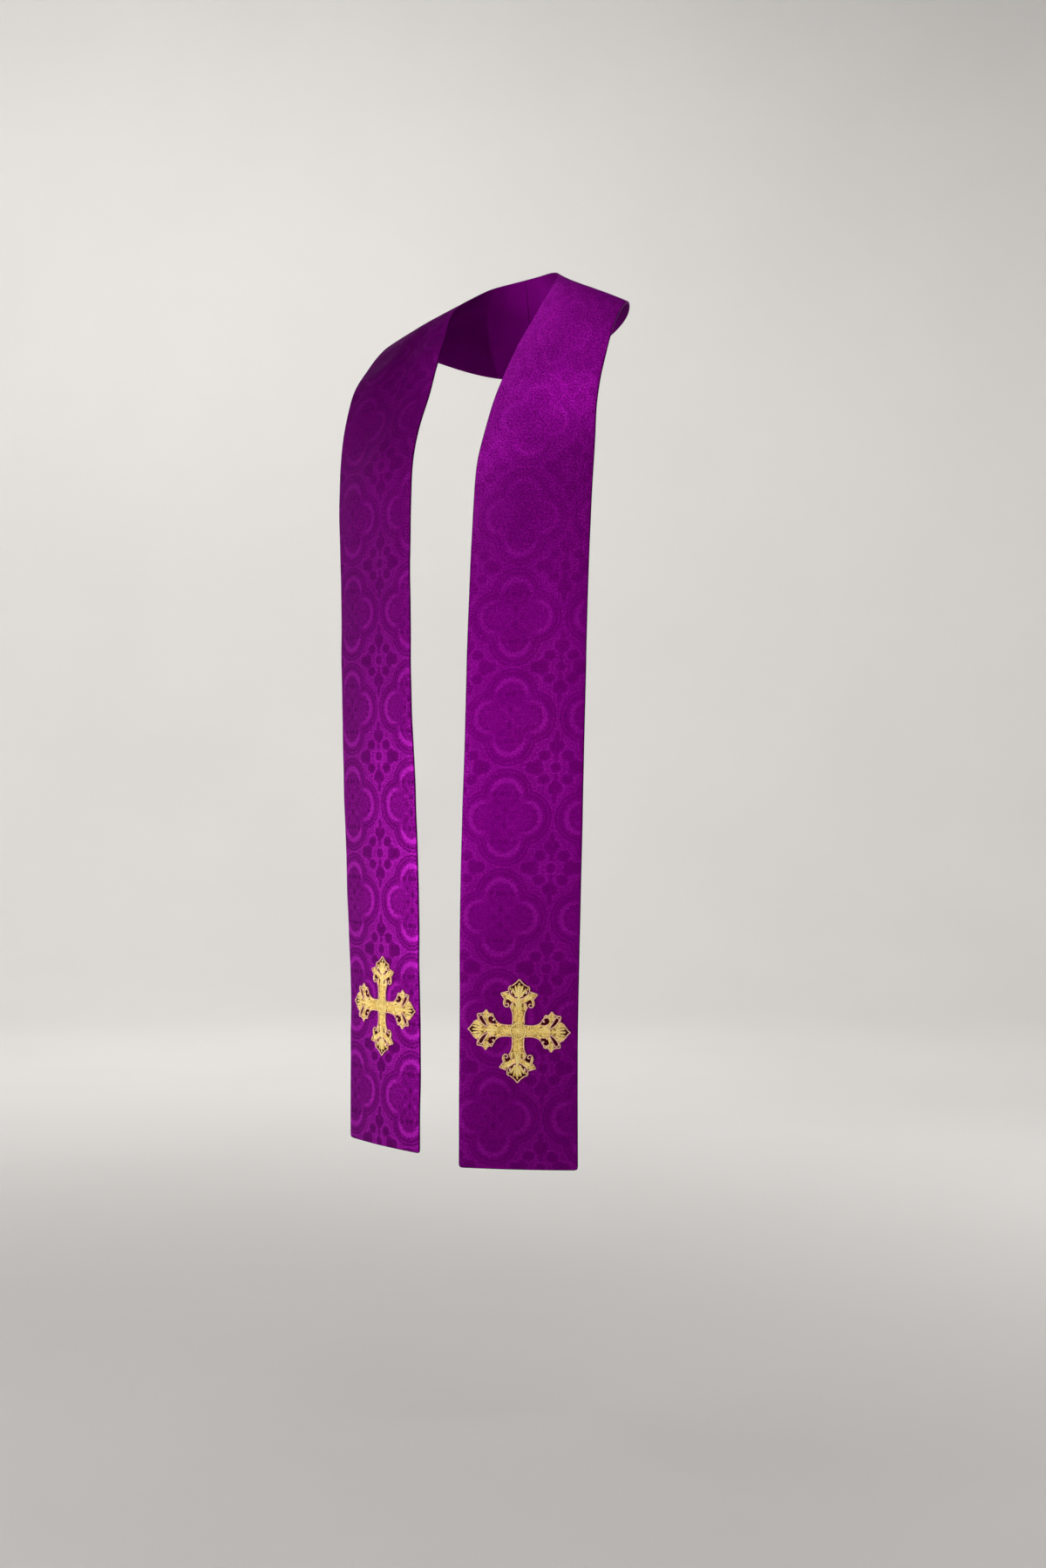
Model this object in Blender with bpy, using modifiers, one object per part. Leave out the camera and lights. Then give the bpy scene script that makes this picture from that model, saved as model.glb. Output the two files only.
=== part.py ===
"""Clerical stole, as worn: two bands cut from the nape to the hem, each with an embroidered cross.

Blender 4.5 script, metres, +Z up. The wearer faces -Y and their left hand is at +X. The origin is the
nape: the neck edge at the centre-back seam, on the inside of the cloth, where the stole rests.
"""

from collections import namedtuple

import bmesh
import bpy
import numpy as np

MM = 0.001

# Driving sizes, in mm.
WALL = 2.4  # face, interlining and lining of a band, pressed together
SEAM_GAP = 0.5  # left open between the two bands at the centre-back seam
TRIM_GAP = 0.3  # between a band and the cross sewn on it
TRIM_WALL = 0.9  # padding and stitches of a cross
BAND_WIDTH = 150.0  # of a band on the chest, edge to edge
CROSS_WAIST = 7.3  # half the width of a cross's arm at the middle

# Cells of a band: short ones where it turns over the shoulder, long ones where it hangs.
SHOULDER_RUN = 420.0
SHOULDER_CELLS = 34
HANGING_CELLS = 30
ACROSS_CELLS = 10

# How the wearer's left band lies on a general figure, in mm from the nape. in_ is the neck edge and
# out_ the outer edge. crown is how far the middle of the band stands out of the straight line between
# its edges. lean lifts the left band and drops the right one: the left shoulder is held higher, and
# that band hangs lower.
Station = namedtuple("Station", "in_x in_y in_z out_x out_y out_z crown lean")
STATIONS = (
    #       in_x  in_y   in_z   out_x  out_y   out_z  crown lean
    Station(SEAM_GAP / 2, WALL, 0, SEAM_GAP / 2, 22, -130, 0, 0),  # centre-back seam
    Station(28, -2, -1, 62, 19, -118, 2, 3),
    Station(52, -13, -5, 118, 6, -98, 4, 6),
    Station(67, -29, -15, 162, -15, -76, 4, 8),
    Station(73.5, -46, -26, 178, -41, -66, 4, 8.5),  # top of the shoulder
    Station(74.5, -63, -42, 182, -67, -77, 4, 8),
    Station(71, -78, -59, 184, -88, -97, 4, 6),
    Station(66, -92, -79, 185.5, -104, -118, 5, 3),
    Station(60, -108, -99, 186.5, -117, -138, 5, -2),
    Station(55, -132, -136, 187.5, -131, -163, 5, -4),
    Station(50, -154, -176, 188.5, -143, -198, 5, -6),
    Station(49, -175, -216, 190.5, -150, -234, 5, -6),
    Station(48, -192, -256, 191, -154, -266, 5, -6),  # fullest part of the chest
    Station(47, -200, -306, 190, -157, -310, 5, -6),
    Station(43.5, -208, -466, 184.5, -159, -466, 5, -6),
    Station(40, -208.5, -576, 182.5, -161, -576, 5, -6),
    Station(32, -207, -786, 176, -159, -786, 5, -6),
    Station(30, -206, -906, 172, -158, -906, 5, -6),
    Station(29.5, -207, -1133, 171, -158, -1131, 5, -6),  # hem
)

# Soft folds. along is from the centre-back seam and across from the neck edge; turn leans a fold's
# length from the band's own towards its outer edge; height is below zero for a trough.
Fold = namedtuple("Fold", "side along across turn length width height")
LEFT, RIGHT = 1, -1
FOLDS = (
    Fold(LEFT, 228, 50, 8, 55, 17, -2.6),
    Fold(LEFT, 250, 84, 14, 70, 20, 1.6),
    Fold(LEFT, 392, 62, 38, 95, 30, 2.2),
    Fold(LEFT, 560, 74, 4, 170, 34, -2.0),
    Fold(LEFT, 840, 48, -3, 190, 36, 1.4),
    Fold(LEFT, 1010, 112, 3, 150, 30, -1.2),
    Fold(RIGHT, 236, 58, 12, 60, 19, -2.2),
    Fold(RIGHT, 262, 96, 18, 75, 22, 1.5),
    Fold(RIGHT, 410, 70, 34, 90, 30, 2.0),
    Fold(RIGHT, 600, 66, -5, 180, 36, -1.8),
    Fold(RIGHT, 860, 96, 4, 200, 34, 1.5),
    Fold(LEFT, 60, 62, -20, 60, 24, 1.2),
    Fold(RIGHT, 66, 58, -24, 55, 24, 1.3),
)

# Outline of one arm of a cross, in mm from its middle: half the width at each reach.
ArmPlace = namedtuple("ArmPlace", "reach half_width")
ARM = (
    ArmPlace(7.3, 7.3),
    ArmPlace(18, 6.9),
    ArmPlace(25, 8.6),
    ArmPlace(27, 11),
    ArmPlace(28.5, 16.5),  # scroll
    ArmPlace(32, 19),
    ArmPlace(36, 17.5),
    ArmPlace(40, 19),
    ArmPlace(44, 23),  # tip of the side leaf
    ArmPlace(46.5, 16.5),
    ArmPlace(49, 13),
    ArmPlace(52, 13),  # end leaf
    ArmPlace(57, 8.5),
    ArmPlace(61.5, 3),
    ArmPlace(64, 0.8),
)
ARM_COLUMNS = 4

# Where the middle of each cross is sewn, in mm up from the hem and in from the neck edge.
CrossPlace = namedtuple("CrossPlace", "rise inset")
CROSS_PLACES = {LEFT: CrossPlace(171, 76.5), RIGHT: CrossPlace(178.5, 72.5)}

Finish = namedtuple("Finish", "name colour roughness metallic")
DAMASK = Finish("purple_damask", (0.17, 0.004, 0.165, 1), 0.5, 0.0)
GOLD_THREAD = Finish("gold_thread", (0.62, 0.37, 0.17, 1), 0.42, 0.25)


def spline(places, rows, wanted):
    """Rows read at the wanted places from the natural cubic spline through the given ones."""
    steps = np.diff(places)
    slopes = np.diff(rows, axis=0) / steps[:, None]
    inner = np.arange(1, len(places) - 1)
    system = np.eye(len(places))
    system[inner, inner - 1] = steps[:-1]
    system[inner, inner] = 2 * (steps[:-1] + steps[1:])
    system[inner, inner + 1] = steps[1:]
    load = np.zeros_like(rows)
    load[1:-1] = 6 * np.diff(slopes, axis=0)
    bends = np.linalg.solve(system, load)

    span = np.clip(np.searchsorted(places, wanted, side="right") - 1, 0, len(steps) - 1)
    past = (wanted - places[span])[:, None]
    step = steps[span][:, None]
    start, end = bends[span], bends[span + 1]
    slope = slopes[span] - step * (2 * start + end) / 6
    return rows[span] + past * slope + past**2 * start / 2 + past**3 * (end - start) / (6 * step)


def station_places(rows):
    """How far along the band each station lies, measured down its middle."""
    middle = (rows[:, 0:3] + rows[:, 3:6]) / 2
    return np.concatenate(([0.0], np.cumsum(np.linalg.norm(np.diff(middle, axis=0), axis=1))))


ROWS = np.array(STATIONS, float)
PLACES = station_places(ROWS)
BAND_LENGTH = PLACES[-1]


def fold_heights(side, along, across):
    """Sum of the side's folds, each a smooth swell that fades along and across its own length."""
    height = np.zeros_like(along)
    for fold in FOLDS:
        if fold.side != side:
            continue
        turn = np.radians(fold.turn)
        down, out = along - fold.along, across - fold.across
        lengthwise = down * np.cos(turn) + out * np.sin(turn)
        crosswise = out * np.cos(turn) - down * np.sin(turn)
        fade = (lengthwise / fold.length) ** 2 + (crosswise / fold.width) ** 2
        height += fold.height * np.exp(-fade)
    return height


def on_band(side, along, share, lift=0.0):
    """Points of a band's outer face, moved out by lift: share runs from the neck edge, 0, to the outer edge, 1.

    A point stands on the straight line between the edges at its station, raised square to the cloth by
    the crown, a parabola across the band, and by the folds.
    """
    row = spline(PLACES, ROWS, along)
    ahead = spline(PLACES, ROWS, np.minimum(along + 1, BAND_LENGTH))
    behind = spline(PLACES, ROWS, np.maximum(along - 1, 0))
    share = share[:, None]
    across_way = row[:, 3:6] - row[:, 0:3]
    along_way = (ahead - behind)[:, 0:3] * (1 - share) + (ahead - behind)[:, 3:6] * share
    out_way = np.cross(along_way, across_way)
    out_way /= np.linalg.norm(out_way, axis=1)[:, None]
    crown = row[:, 6:7] * 4 * share * (1 - share)
    folds = fold_heights(side, along, share[:, 0] * BAND_WIDTH)[:, None]
    points = row[:, 0:3] + across_way * share + out_way * (crown + folds + lift)
    points[:, 2] += side * row[:, 7]
    points[:, 0] *= side
    return points * MM


def clear_scene():
    for old in list(bpy.data.objects):
        bpy.data.objects.remove(old)


def make_collection(name):
    collection = bpy.data.collections.new(name)
    bpy.context.scene.collection.children.link(collection)
    return collection


def make_material(finish):
    material = bpy.data.materials.new(finish.name)
    material.use_nodes = True
    surface = material.node_tree.nodes["Principled BSDF"]
    surface.inputs["Base Color"].default_value = finish.colour
    surface.inputs["Roughness"].default_value = finish.roughness
    surface.inputs["Metallic"].default_value = finish.metallic
    return material


def move_to_band(grid, side, along, share, lift):
    """Takes each point of a flat grid to its place on the band, with the faces pointing out."""
    for vertex, place in zip(grid.verts, on_band(side, along, share, lift)):
        vertex.co = place
    if side == RIGHT:
        bmesh.ops.reverse_faces(grid, faces=grid.faces)


def add_cloth(name, grid, wall, material, collection):
    """A named object whose open face is thickened inwards into a closed wall."""
    mesh = bpy.data.meshes.new(name)
    grid.to_mesh(mesh)
    grid.free()
    mesh.materials.append(material)
    mesh.shade_smooth()
    cloth = bpy.data.objects.new(name, mesh)
    collection.objects.link(cloth)
    thickness = cloth.modifiers.new("cloth_wall", "SOLIDIFY")
    thickness.thickness = wall * MM
    thickness.offset = -1
    return cloth


def make_band(name, side, material, collection):
    """Half of the stole, cut in one piece from the centre-back seam to the hem."""
    shoulder = np.linspace(0, SHOULDER_RUN, SHOULDER_CELLS + 1)
    hanging = np.linspace(SHOULDER_RUN, BAND_LENGTH, HANGING_CELLS + 1)
    cuts = np.concatenate((shoulder, hanging[1:]))
    cells = len(cuts) - 1
    grid = bmesh.new()
    bmesh.ops.create_grid(grid, x_segments=cells, y_segments=ACROSS_CELLS, size=0.5)
    flat = np.array([vertex.co for vertex in grid.verts]) + 0.5
    along = cuts[np.rint(flat[:, 0] * cells).astype(int)]
    move_to_band(grid, side, along, flat[:, 1], 0.0)
    return add_cloth(name, grid, WALL, material, collection)


def flat_cross():
    """A flat cross in mm, its first direction down the band: a square middle and four welded arms."""
    cross = bmesh.new()
    bmesh.ops.create_grid(cross, x_segments=ARM_COLUMNS, y_segments=ARM_COLUMNS, size=CROSS_WAIST)
    reach, half_width = np.array(ARM).T
    rows = len(ARM) - 1
    for quarter in range(4):
        arm = bmesh.ops.create_grid(cross, x_segments=rows, y_segments=ARM_COLUMNS, size=0.5)["verts"]
        turn = np.pi / 2 * quarter
        for vertex in arm:
            row = round((vertex.co.x + 0.5) * rows)
            out, aside = reach[row], half_width[row] * 2 * vertex.co.y
            vertex.co.x = out * np.cos(turn) - aside * np.sin(turn)
            vertex.co.y = out * np.sin(turn) + aside * np.cos(turn)
    bmesh.ops.remove_doubles(cross, verts=cross.verts, dist=0.01)
    return cross


def make_cross(name, side, material, collection):
    """Raised embroidery, made from the band's own points and moved out to lie on it."""
    cross = flat_cross()
    flat = np.array([vertex.co for vertex in cross.verts])
    place = CROSS_PLACES[side]
    along = BAND_LENGTH - place.rise + flat[:, 0]
    share = (place.inset + flat[:, 1]) / BAND_WIDTH
    move_to_band(cross, side, along, share, TRIM_GAP + TRIM_WALL)
    return add_cloth(name, cross, TRIM_WALL, material, collection)


def main():
    clear_scene()
    stole = make_collection("clerical_stole")
    damask = make_material(DAMASK)
    gold = make_material(GOLD_THREAD)
    for side, hand in ((LEFT, "left"), (RIGHT, "right")):
        make_band(f"stole_{hand}", side, damask, stole)
        make_cross(f"cross_{hand}", side, gold, stole)


main()
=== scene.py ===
"""Purple damask stole with embroidered crosses, laid as it is worn, on a pale studio floor.

Metres, +Z up. The wearer faces -Y and their left hand is at +X. The origin is the nape, inside the
neck edge at the centre-back seam. Shapes are worked out in millimetres and turned to metres at the end.
"""

from collections import namedtuple

import bpy
import numpy as np
from bpy.props import FloatProperty, FloatVectorProperty, PointerProperty
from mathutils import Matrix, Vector


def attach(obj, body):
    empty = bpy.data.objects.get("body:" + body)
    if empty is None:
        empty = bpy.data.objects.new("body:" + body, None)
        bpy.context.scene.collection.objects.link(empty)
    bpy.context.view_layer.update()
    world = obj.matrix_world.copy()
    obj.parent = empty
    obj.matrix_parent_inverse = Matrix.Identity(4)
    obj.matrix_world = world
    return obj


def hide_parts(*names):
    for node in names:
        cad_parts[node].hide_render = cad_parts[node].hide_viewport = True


bl_info = {
    "name": "Clerical stole",
    "version": (1, 0, 0),
    "blender": (4, 5, 0),
    "location": "View3D > Sidebar > Stole",
    "description": "Makes a damask stole with two embroidered crosses and a plain studio for it",
    "category": "Add Mesh",
}

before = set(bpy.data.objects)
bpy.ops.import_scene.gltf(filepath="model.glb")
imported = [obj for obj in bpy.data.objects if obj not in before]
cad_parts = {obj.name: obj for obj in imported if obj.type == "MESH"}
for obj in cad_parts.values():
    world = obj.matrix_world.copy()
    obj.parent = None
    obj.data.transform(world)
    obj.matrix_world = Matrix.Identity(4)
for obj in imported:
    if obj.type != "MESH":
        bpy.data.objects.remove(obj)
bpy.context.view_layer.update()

MM = 0.001
LEFT, RIGHT = 1, -1
HANDS = ((LEFT, "left"), (RIGHT, "right"))

# Where the middle of each cross is sewn, in mm up from the hem and in from the neck edge, and how far
# the cross leans, in radians from its first arm towards its outer one.
CrossPlace = namedtuple("CrossPlace", "rise inset turn")
CROSS_PLACES = {LEFT: CrossPlace(169.9, 76.4, 0.014), RIGHT: CrossPlace(178, 71.0, -0.036)}

SEAM_HALF = 0.24  # by which each band is drawn up to the centre-back seam, in mm
SEAM_REACH = 30.0  # length over which a band is drawn up
TRIM_GAP = 0.3  # from a band to the stitches on it

# ---------------------------------------------------------------- form of the bands

# A row of points across the wearer's left band: its neck edge and its outer edge, how far its middle
# stands out, and how far the left band is raised and the right one lowered, all in mm.
Station = namedtuple("Station", "in_x in_y in_z out_x out_y out_z crown lean")
STATIONS = (
    Station(0.25, 2.4, 0, 0.25, 22, -130, 0, 0),  # centre-back seam
    Station(28, -2, -1, 62, 19, -118, 2, 3),
    Station(52, -13, -5, 118, 6, -98, 4, 6),
    Station(67, -29, -15, 162, -15, -76, 4, 8),
    Station(73.5, -46, -26, 178, -41, -66, 4, 8.5),  # top of the shoulder
    Station(74.5, -63, -42, 182, -67, -77, 4, 8),
    Station(71, -78, -59, 184, -88, -97, 4, 6),
    Station(66, -92, -79, 185.5, -104, -118, 5, 3),
    Station(60, -108, -99, 186.5, -117, -138, 5, -2),
    Station(55, -132, -136, 187.5, -131, -163, 5, -4),
    Station(50, -154, -176, 188.5, -143, -198, 5, -6),
    Station(49, -175, -216, 190.5, -150, -234, 5, -6),
    Station(48, -192, -256, 191, -154, -266, 5, -6),  # fullest part of the chest
    Station(47, -200, -306, 190, -157, -310, 5, -6),
    Station(43.5, -208, -466, 184.5, -159, -466, 5, -6),
    Station(40, -208.5, -576, 182.5, -161, -576, 5, -6),
    Station(32, -207, -786, 176, -159, -786, 5, -6),
    Station(30, -206, -906, 172, -158, -906, 5, -6),
    Station(29.5, -207, -1133, 171, -158, -1131, 5, -6),  # hem
)

# Folds that hanging gives the cloth: the middle of each, in mm from the seam and in from the neck edge,
# its turn in degrees, and its half length, half width and height.
Fold = namedtuple("Fold", "side along across turn length width height")
FOLDS = (
    Fold(LEFT, 228, 50, 8, 55, 17, -2.6),
    Fold(LEFT, 250, 84, 14, 70, 20, 1.6),
    Fold(LEFT, 392, 62, 38, 95, 30, 2.2),
    Fold(LEFT, 560, 74, 4, 170, 34, -2.0),
    Fold(LEFT, 840, 48, -3, 190, 36, 1.4),
    Fold(LEFT, 1010, 112, 3, 150, 30, -1.2),
    Fold(RIGHT, 236, 58, 12, 60, 19, -2.2),
    Fold(RIGHT, 262, 96, 18, 75, 22, 1.5),
    Fold(RIGHT, 410, 70, 34, 90, 30, 2.0),
    Fold(RIGHT, 600, 66, -5, 180, 36, -1.8),
    Fold(RIGHT, 860, 96, 4, 200, 34, 1.5),
    Fold(LEFT, 60, 62, -20, 60, 24, 1.2),
    Fold(RIGHT, 66, 58, -24, 55, 24, 1.3),
)

# Slack in the cloth: slight waves that cross each other. along and across are their lengths in mm.
Slack = namedtuple("Slack", "along across start height")
SLACKS = (
    Slack(310, 520, 0.4, 0.55),
    Slack(173, -240, 1.9, 0.35),
    Slack(97, 150, 4.1, 0.16),
    Slack(61, -88, 2.7, 0.09),
)
SLACK_SHIFT = 0.9  # by which the waves of the two bands differ, either way
SLACK_FREE = 60.0, 40.0  # distances from the seam and from the hem at which the slack is full


def spline(places, rows, wanted):
    """Rows read at the wanted places from the natural cubic spline through the given ones."""
    steps = np.diff(places)
    slopes = np.diff(rows, axis=0) / steps[:, None]
    inner = np.arange(1, len(places) - 1)
    system = np.eye(len(places))
    system[inner, inner - 1] = steps[:-1]
    system[inner, inner] = 2 * (steps[:-1] + steps[1:])
    system[inner, inner + 1] = steps[1:]
    load = np.zeros_like(rows)
    load[1:-1] = 6 * np.diff(slopes, axis=0)
    bends = np.linalg.solve(system, load)

    span = np.clip(np.searchsorted(places, wanted, side="right") - 1, 0, len(steps) - 1)
    past = (wanted - places[span])[:, None]
    step = steps[span][:, None]
    start, end = bends[span], bends[span + 1]
    slope = slopes[span] - step * (2 * start + end) / 6
    return rows[span] + past * slope + past**2 * start / 2 + past**3 * (end - start) / (6 * step)


def walked(path):
    """Distance to each point of a path, from point to point along it."""
    return np.concatenate(([0.0], np.cumsum(np.linalg.norm(np.diff(path, axis=0), axis=1))))


ROWS = np.array(STATIONS, float)
PLACES = walked((ROWS[:, 0:3] + ROWS[:, 3:6]) / 2)  # of the stations, along the middle of the band
BAND_LENGTH = PLACES[-1]
BAND_WIDTH = 150.0


def fold_heights(side, along, across):
    """Sum of the side's folds, each turned on the cloth.

    A fold is height * exp(-(lengthwise / length)^2 - (crosswise / width)^2).
    """
    height = np.zeros_like(along)
    for fold in FOLDS:
        if fold.side != side:
            continue
        turn = np.radians(fold.turn)
        down, out = along - fold.along, across - fold.across
        lengthwise = down * np.cos(turn) + out * np.sin(turn)
        crosswise = out * np.cos(turn) - down * np.sin(turn)
        height += fold.height * np.exp(-((lengthwise / fold.length) ** 2) - (crosswise / fold.width) ** 2)
    return height


def slack_heights(side, along, across):
    """Sum of height * sin(2 pi (along / length + across / length) + start), less at the sewn ends."""
    height = np.zeros_like(along)
    for slack in SLACKS:
        wave = along / slack.along + across / slack.across
        height += slack.height * np.sin(2 * np.pi * wave + slack.start + SLACK_SHIFT * side)
    from_seam, from_hem = SLACK_FREE
    return height * np.clip(along / from_seam, 0, 1) * np.clip((BAND_LENGTH - along) / from_hem, 0, 1)


def on_band(side, along, share, lift):
    """Points of a band's outer face moved out by lift, in metres.

    share runs from the neck edge, 0, to the outer edge, 1. A point stands on the straight line between
    the edges at its station, raised square to the cloth by the crown, a parabola across the band, by the
    folds and by the slack.
    """
    row = spline(PLACES, ROWS, along)
    ahead = spline(PLACES, ROWS, np.minimum(along + 1, BAND_LENGTH))
    behind = spline(PLACES, ROWS, np.maximum(along - 1, 0))
    span = share[:, None]
    across_way = row[:, 3:6] - row[:, 0:3]
    along_way = (ahead - behind)[:, 0:3] * (1 - span) + (ahead - behind)[:, 3:6] * span
    out_way = np.cross(along_way, across_way)
    out_way /= np.linalg.norm(out_way, axis=1)[:, None]
    crown = row[:, 6] * 4 * share * (1 - share)
    across = share * BAND_WIDTH
    swell = crown + fold_heights(side, along, across) + slack_heights(side, along, across)
    points = row[:, 0:3] + across_way * span + out_way * (swell + lift)[:, None]
    points[:, 2] += side * row[:, 7]
    points[:, 0] *= side
    return points * MM


# ---------------------------------------------------------------- meshes


def grid_quads(rows, columns):
    """Corners of the quads of a grid of rows x columns points, counted row by row."""
    corner = np.arange(rows - 1)[:, None] * columns + np.arange(columns - 1)
    return np.stack([corner, corner + 1, corner + columns + 1, corner + columns], -1).reshape(-1, 4)


def ring_pairs(columns):
    """Each point of a closed ring and the one after it."""
    return np.arange(columns), (np.arange(columns) + 1) % columns


def ring_quads(rows, columns):
    """Corners of the quads between closed rings of points, counted ring by ring."""
    here, after = ring_pairs(columns)
    ring = np.arange(rows - 1)[:, None] * columns
    outer = ring + columns
    return np.stack([ring + here, ring + after, outer + after, outer + here], -1).reshape(-1, 4)


def put_mesh(name, points, faces, flat, materials, finish_of_face=None, relief=None):
    """An object from its points in metres, its faces and each point's place on the flat cloth in mm.

    relief is how far each point stands out of the hollows between threads, from 0 to 1.
    """
    mesh = bpy.data.meshes.new(name)
    mesh.from_pydata(points, [], faces)
    corners = np.empty(len(mesh.loops), np.int32)
    mesh.loops.foreach_get("vertex_index", corners)
    layer = mesh.uv_layers.new(name="cloth")
    layer.uv.foreach_set("vector", np.asarray(flat, np.float32)[corners].ravel())
    for material in materials:
        mesh.materials.append(material)
    if relief is not None:
        proud = mesh.attributes.new("relief", "FLOAT", "POINT")
        proud.data.foreach_set("value", np.asarray(relief, np.float32))
    if finish_of_face is not None:
        mesh.polygons.foreach_set("material_index", np.asarray(finish_of_face, np.int32))
    mesh.shade_smooth()
    mesh.update()
    if mesh.validate():
        raise RuntimeError(f"{name} had faces that don't hold together")
    piece = bpy.data.objects.new(name, mesh)
    bpy.context.scene.collection.objects.link(piece)
    return piece


EDGE_STEPS = 5


def edge_cuts(length, spacing, edge):
    """Places from 0 to length: cosine steps over the turned edge at each end, even ones between."""
    turned = edge * (1 - np.cos(np.linspace(0, np.pi / 2, EDGE_STEPS)))
    between = np.linspace(edge, length - edge, max(2, round((length - 2 * edge) / spacing)) + 1)
    return np.concatenate((turned[:-1], between, length - turned[-2::-1]))


def shell(side, sizes):
    """A band's closed shell: its points, faces, flat places and the finish of each face.

    The outer and inner sheets are grids over along x across that share their rim. At the distance d
    from the rim the wall is as thick as a circle's chord, 2 r sqrt(1 - (1 - d / r)^2), until r, half the
    wall. The lower corners are squares of the grid drawn in to quarter discs. A quad with three points on
    the rim is cut in two, from its fourth point to the corner.
    """
    half = sizes.thickness / MM / 2
    corner = sizes.corner / MM
    spacing = sizes.cloth_grid / MM
    along_cuts = edge_cuts(BAND_LENGTH, spacing, half)
    across_cuts = edge_cuts(BAND_WIDTH, spacing, half)
    rows, columns = len(along_cuts), len(across_cuts)
    along, across = (part.ravel() for part in np.meshgrid(along_cuts, across_cuts, indexing="ij"))
    rim = np.minimum.reduce([along, BAND_LENGTH - along, across, BAND_WIDTH - across])

    down = np.clip(corner - (BAND_LENGTH - along), 0, None)
    out = np.clip(corner - np.minimum(across, BAND_WIDTH - across), 0, None)
    drawn = np.maximum(down, out) / np.maximum(np.hypot(down, out), 1e-9)
    inner = (down > 0) & (out > 0)
    towards = np.where(across < BAND_WIDTH / 2, corner - out * drawn, BAND_WIDTH - corner + out * drawn)
    along = np.where(inner, BAND_LENGTH - corner + down * drawn, along)
    across = np.where(inner, towards, across)

    thick = half * np.sqrt(1 - (1 - np.clip(rim / half, 0, 1)) ** 2)
    on_rim = rim < 1e-6
    share = across / BAND_WIDTH
    joined = along - SEAM_HALF * np.clip(1 - along / SEAM_REACH, 0, 1)
    outer = on_band(side, joined, share, thick - half)
    lining = on_band(side, joined, share, -thick - half)[~on_rim]

    back = np.arange(rows * columns)
    back[~on_rim] = rows * columns + np.arange(len(lining))
    front_quads = grid_quads(rows, columns)
    if side == LEFT:
        front_quads = front_quads[:, ::-1]
    cornered = on_rim[front_quads].sum(axis=1) == 3
    inmost = np.argmin(on_rim[front_quads[cornered]], axis=1)[:, None]
    front_quads[cornered] = np.take_along_axis(front_quads[cornered], (inmost + np.arange(4)) % 4, 1)
    back_quads = back[front_quads[:, [0, 3, 2, 1]]]
    flat = np.stack([across, BAND_LENGTH - along], 1)
    points = np.concatenate((outer, lining))
    quads = np.concatenate((front_quads, back_quads))
    finish = np.repeat((0, 1), len(front_quads))
    cut = np.tile(cornered, 2)
    faces = quads[~cut].tolist() + quads[cut][:, :3].tolist() + quads[cut][:, [0, 2, 3]].tolist()
    finish = np.concatenate((finish[~cut], finish[cut], finish[cut]))
    return points, faces, np.concatenate((flat, flat[~on_rim])), finish


# ---------------------------------------------------------------- embroidery

# A stroke of one arm: path holds reach and aside, in mm from the cross's middle. width is half of the
# stroke at its widest and rise its height over the band. blunt is 0 where both ends come to a point,
# 1 where they are cut square. A pair is stitched again on the arm's other half.
Stroke = namedtuple("Stroke", "finish pair width rise blunt path")
# SHADE strokes are a dark wine sheet standing for shade: painted shade in the gaps of a cross and painted
# shadow beside its cords.
FILL, GROUND, CORD, SHADE = range(4)
OUTLINE = (CORD, 1, 0.8, 1.7, 1)  # the cord that runs round the whole cross

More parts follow.
